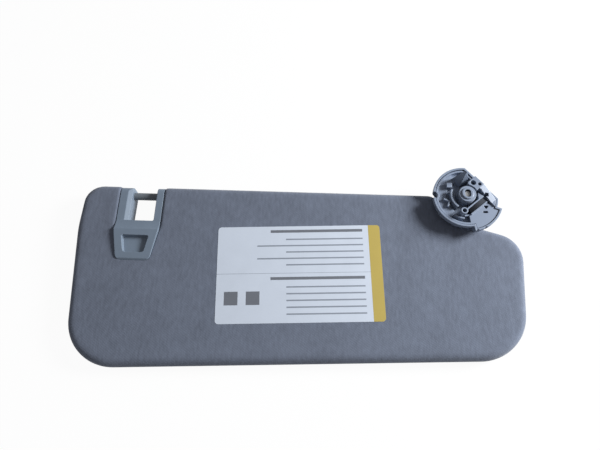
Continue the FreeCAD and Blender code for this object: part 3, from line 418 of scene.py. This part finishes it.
def moulded_finish(name, colour, roughness, grain, edge_round, edge_highlight):
    """Moulded plastic: a fine spark-eroded grain, soft edges, and a painted highlight that makes every edge
    a little paler.
    """
    material, tree, out = blank_finish(name)
    place = put(tree, "TexCoord").outputs["Object"]
    cloudy = put(tree, "TexNoise", {"Vector": place, "Scale": 120.0, "Detail": 4.0, "Roughness": 0.6})
    pits = put(tree, "TexNoise", {"Vector": place, "Scale": 2600.0, "Detail": 2.0})
    softened = put(tree, "Bevel", {"Radius": edge_round}, samples=6)
    flat = put(tree, "NewGeometry").outputs["Normal"]
    along = put(tree, "VectorMath", {0: softened.outputs[0], 1: flat}, operation="DOT_PRODUCT")
    # painted highlight: near every edge, where the softened normal leans away from the face's own, the
    # colour is mixed towards a paler one
    edge = put(tree, "MapRange", {"Value": along.outputs["Value"], "From Min": 0.99, "From Max": 0.80,
                                  "To Max": edge_highlight})
    darker = tuple(c * 0.93 for c in colour[:3]) + (1,)
    lighter = tuple(c * 1.07 for c in colour[:3]) + (1,)
    highlight_colour = tuple(min(1, c * 1.5 + 0.02) for c in colour[:3]) + (1,)
    shade = put(tree, "Mix", {"Factor": cloudy.outputs["Fac"], "A": darker, "B": lighter}, data_type="RGBA")
    with_highlight = put(tree, "Mix", {"Factor": edge.outputs[0], "A": shade.outputs["Result"], "B": highlight_colour},
                 data_type="RGBA")
    bump = put(tree, "Bump", {"Strength": grain, "Distance": 0.0001, "Height": pits.outputs["Fac"],
                              "Normal": softened.outputs[0]})
    skin = put(tree, "BsdfPrincipled", {"Base Color": with_highlight.outputs["Result"], "Roughness": roughness,
                                        "Normal": bump.outputs[0]})
    tree.links.new(skin.outputs[0], out.inputs["Surface"])
    return material


def dress(material, *names):
    for name in names:
        nodes[name].data.materials.clear()
        nodes[name].data.materials.append(material)


dress(moulded_finish("bezel_plastic", BEZEL_COLOUR, 0.50, 0.25, 0.0008, 0.35),
      "hook_bezel", "hook_bezel_rear")
dress(moulded_finish("bar_plastic", BAR_COLOUR, 0.38, 0.10, 0.0004, 0.2), "hook_bar")

# Shells, clip housing and elbow cover: unpainted dark mouldings, seen only in the seams and the
# notch. The two shells carry the cloth, the housing clamps the clip's tails.

dress(moulded_finish("shell_plastic", SHELL_COLOUR, 0.6, 0.2, 0.0004, 0.1),
      "front_core", "rear_core", "clip_housing")
dress(moulded_finish("elbow_plastic", BEZEL_COLOUR, 0.5, 0.2, 0.0006, 0.25), "elbow_cover")

# Label: a thin glossy film with round corners, printed and then stuck on the finished cloth,
# in line with the panel's free edge.

FILM_COLOUR = srgb(196, 204, 216)
BAND_COLOUR = srgb(176, 156, 78)
INK_COLOUR = srgb(104, 108, 116)


def film_finish(name, colour):
    material, tree, out = blank_finish(name)
    place = put(tree, "TexCoord").outputs["Object"]
    faded = put(tree, "TexNoise", {"Vector": place, "Scale": 60.0, "Detail": 5.0, "Roughness": 0.6})
    greyer = tuple(c * 0.94 for c in colour[:3]) + (1,)
    fresher = tuple(min(1, c * 1.05) for c in colour[:3]) + (1,)
    shade = put(tree, "Mix", {"Factor": faded.outputs["Fac"], "A": greyer, "B": fresher}, data_type="RGBA")
    print_through = put(tree, "TexNoise", {"Vector": place, "Scale": 700.0, "Detail": 2.0})
    bump = put(tree, "Bump", {"Strength": 0.12, "Distance": 0.0002, "Height": print_through.outputs["Fac"]})
    skin = put(tree, "BsdfPrincipled", {"Base Color": shade.outputs["Result"], "Roughness": 0.5,
                                        "Normal": bump.outputs[0], "Coat Weight": 0.1,
                                        "Coat Roughness": 0.35})
    tree.links.new(skin.outputs[0], out.inputs["Surface"])
    return material


dress(film_finish("label_film", FILM_COLOUR), "label_sticker")

# What is printed on the label: a bare yellow end band, a thin rule across the middle, and on
# each side of it one broad plain bar over evenly spaced narrow ones, with two plain squares.

LABEL_T = 0.00015
PRINT_ABOVE = 0.00003
BAND_FROM = 0.0634           # band from here to the end of the film
BAND_ROUND = 0.003
FAINT_COLOUR = srgb(132, 139, 150)
BARS_END = 0.058             # bars run from here away from the band
BROAD_BAR = (0.084, 0.0026)  # length and height
NARROW_BARS = (0.096, 0.070)           # lengths, taken in turn
NARROW_HEIGHT = 0.0013
BAR_PITCH = 0.0060
BARS_A_SIDE = 6
SQUARE = 0.012
RULE_T = 0.0003
HEAD_DROP = 0.8              # broad bar's distance below its half's top edge, in pitches
FIRST_GAP = 0.3              # extra gap under the broad bar, in pitches
SQUARE_ENDS = (1.6, 3.2)     # squares' right sides from the film's end, in squares


def on_label(along, up):
    """A point of the label, from lengths along and up it, seen from its middle."""
    turned = Matrix.Rotation(LABEL_TILT, 3, "Z") @ Vector((along, up, LABEL_T + PRINT_ABOVE))
    leaning = Matrix.Rotation(math.atan(FRONT_SLOPE), 3, "X") @ turned
    return leaning + Vector((LABEL_CENTRE.x, LABEL_CENTRE.y, front_height(LABEL_CENTRE.y)))


def printed(name, outlines, material):
    """A thin print on the label from flat outlines."""
    corners, faces = [], []
    for outline in outlines:
        faces.append(list(range(len(corners), len(corners) + len(outline))))
        corners += [on_label(x, y) for x, y in outline]
    mesh = bpy.data.meshes.new(name)
    mesh.from_pydata(corners, [], faces)
    piece = bpy.data.objects.new(name, mesh)
    bpy.context.scene.collection.objects.link(piece)
    piece.data.materials.append(material)
    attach(piece, "visor")
    return piece


def plain_bar(end, level, length, height):
    """Outline of a bar that ends at the given place along the label."""
    low, high = level - height / 2, level + height / 2
    return [(end - length, low), (end, low), (end, high), (end - length, high)]


half_w, half_h = LABEL_SIZE[0] / 2, LABEL_SIZE[1] / 2
band = [(BAND_FROM, half_h), (BAND_FROM, -half_h)]
for corner_y, turn in ((-half_h + BAND_ROUND, -90), (half_h - BAND_ROUND, 0)):
    for k in range(7):
        a = math.radians(turn + 15 * k)
        band.append((half_w - BAND_ROUND + BAND_ROUND * math.cos(a), corner_y + BAND_ROUND * math.sin(a)))
printed("label_band", [band], film_finish("band_film", BAND_COLOUR))
broad, narrow = [], [plain_bar(BAND_FROM, 0, BAND_FROM + half_w, RULE_T)]
for head in (half_h - BAR_PITCH * HEAD_DROP, -BAR_PITCH * HEAD_DROP):
    broad.append(plain_bar(BARS_END, head, *BROAD_BAR))
    for i in range(1, BARS_A_SIDE):
        length = NARROW_BARS[i % len(NARROW_BARS)]
        if head < 0:
            length = NARROW_BARS[-1]
        narrow.append(plain_bar(BARS_END, head - BAR_PITCH * (i + FIRST_GAP), length, NARROW_HEIGHT))
for squares in SQUARE_ENDS:
    broad.append(plain_bar(-half_w + SQUARE * squares, -half_h / 2, SQUARE, SQUARE))
printed("label_bars", broad, film_finish("ink", INK_COLOUR))
printed("label_rows", narrow, film_finish("faint_ink", FAINT_COLOUR))

# Steel: the rod is drawn, bent and zinc plated; the clip, the nut, the washer and the mount's
# strip are pressed from spring strip and blued; the two screws are plated.

def steel_finish(name, colour, roughness):
    material, tree, out = blank_finish(name)
    place = put(tree, "TexCoord").outputs["Object"]
    drawn = put(tree, "Mapping", {"Vector": place, "Scale": (1.0, 12.0, 12.0)})
    lines = put(tree, "TexNoise", {"Vector": drawn.outputs[0], "Scale": 300.0, "Detail": 3.0})
    rough = put(tree, "MapRange", {"Value": lines.outputs["Fac"], "To Min": roughness * 0.8,
                                   "To Max": roughness * 1.25})
    bump = put(tree, "Bump", {"Strength": 0.1, "Distance": 0.0001, "Height": lines.outputs["Fac"]})
    skin = put(tree, "BsdfPrincipled", {"Base Color": colour, "Metallic": 1.0,
                                        "Roughness": rough.outputs[0], "Normal": bump.outputs[0]})
    tree.links.new(skin.outputs[0], out.inputs["Surface"])
    return material


dress(steel_finish("plated_steel", srgb(176, 177, 178), 0.35),
      "pivot_rod", "clip_screw_left", "clip_screw_right")
dress(steel_finish("spring_steel", srgb(48, 50, 55), 0.5),
      "torque_clip", "push_nut", "wave_washer", "snap_clip")

# Bushes: turned or moulded in a natural, slightly waxy bearing plastic and pressed in place,
# two in the panel and one in the mount.

dress(moulded_finish("bush_plastic", srgb(196, 195, 188), 0.42, 0.05, 0.0003, 0.1),
      "outer_bush", "inner_bush", "swivel_bush")

# Roof mount: the dished trim cup, the ribbed bracket in it and the cap of its spigot, moulded in
# a slightly paler and bluer grey than the bezel, smooth and with a faint sheen.

MOUNT_COLOUR = srgb(118, 129, 147)
dress(moulded_finish("mount_plastic", MOUNT_COLOUR, 0.42, 0.08, 0.0006, 0.08),
      "mount_cup", "mount_bracket", "spigot_cap")

# Studio: a white ground that looks white to the camera and keeps a faint shadow, a low soft
# daylight lamp from the right, and a weak even fill.

GROUND_SIZE = 8.0
GROUND_WHITE = 0.95          # share of plain white that the camera sees; the rest keeps the shadow


def ground_finish():
    material, tree, out = blank_finish("ground")
    path = put(tree, "LightPath")
    seen = put(tree, "Math", {0: path.outputs["Is Camera Ray"], 1: path.outputs["Is Glossy Ray"]},
               operation="ADD")
    seen = put(tree, "Math", {0: seen.outputs[0], 1: path.outputs["Is Transmission Ray"]}, operation="ADD",
               use_clamp=True)
    share = put(tree, "Math", {0: seen.outputs[0], 1: GROUND_WHITE}, operation="MULTIPLY")
    paper = put(tree, "BsdfDiffuse", {"Color": (0.9, 0.9, 0.9, 1)})
    white = put(tree, "Emission", {"Color": (1, 1, 1, 1), "Strength": 1.0})
    mixed = put(tree, "MixShader", {0: share.outputs[0], 1: paper.outputs[0], 2: white.outputs[0]})
    tree.links.new(mixed.outputs[0], out.inputs["Surface"])
    return material


bpy.ops.mesh.primitive_plane_add(size=GROUND_SIZE, location=(0, 0, cad_box[0].z))
ground = bpy.context.object
ground.name = "ground"
ground.data.materials.append(ground_finish())

LAMP_AIM = Vector((-0.15, -0.07, -0.02))
LAMP_FROM = Vector((0.86, 0.26, 0.47))
LAMP_DISTANCE = 1.15
LAMP_SIZE = 0.42
LAMP_POWER = 25.0
lamp_data = bpy.data.lights.new("daylight", "AREA")
lamp_data.shape = "DISK"
lamp_data.size = LAMP_SIZE
lamp_data.energy = LAMP_POWER
lamp_data.color = (0.96, 0.98, 1.0)
lamp = bpy.data.objects.new("daylight", lamp_data)
lamp.location = LAMP_AIM + LAMP_FROM.normalized() * LAMP_DISTANCE
lamp.rotation_mode = "QUATERNION"
lamp.rotation_quaternion = (LAMP_AIM - lamp.location).to_track_quat("-Z", "Y")
bpy.context.scene.collection.objects.link(lamp)

FILL_COLOUR = (0.98, 0.97, 1.0, 1)
FILL_STRENGTH = 0.26
world = bpy.data.worlds.new("studio")
bpy.context.scene.world = world
world.use_nodes = True
world.node_tree.nodes.clear()
path = put(world.node_tree, "LightPath")
fill = put(world.node_tree, "Background", {"Color": FILL_COLOUR, "Strength": FILL_STRENGTH})
beyond = put(world.node_tree, "Background", {"Color": (1, 1, 1, 1), "Strength": 1.0})
either = put(world.node_tree, "MixShader", {0: path.outputs["Is Camera Ray"], 1: fill.outputs[0],
                                            2: beyond.outputs[0]})
world_out = put(world.node_tree, "OutputWorld")
world.node_tree.links.new(either.outputs[0], world_out.inputs["Surface"])

# Camera: looking down steeply at the panel from in front, as in the photograph, with a fairly
# wide lens and no shift.

CAMERA_AT = Vector((-0.1452, -0.2008, 0.4149))
CAMERA_AIM = Vector((-0.1512, -0.0203, -0.0320))
camera_data = bpy.data.cameras.new("camera")
camera_data.lens = 30.0
camera_data.sensor_width = 36.0
camera = bpy.data.objects.new("camera", camera_data)
camera.location = CAMERA_AT
camera.rotation_mode = "QUATERNION"
camera.rotation_quaternion = (CAMERA_AIM - CAMERA_AT).to_track_quat("-Z", "Y")
bpy.context.scene.collection.objects.link(camera)
bpy.context.scene.camera = camera

bpy.context.scene.view_settings.view_transform = "Standard"
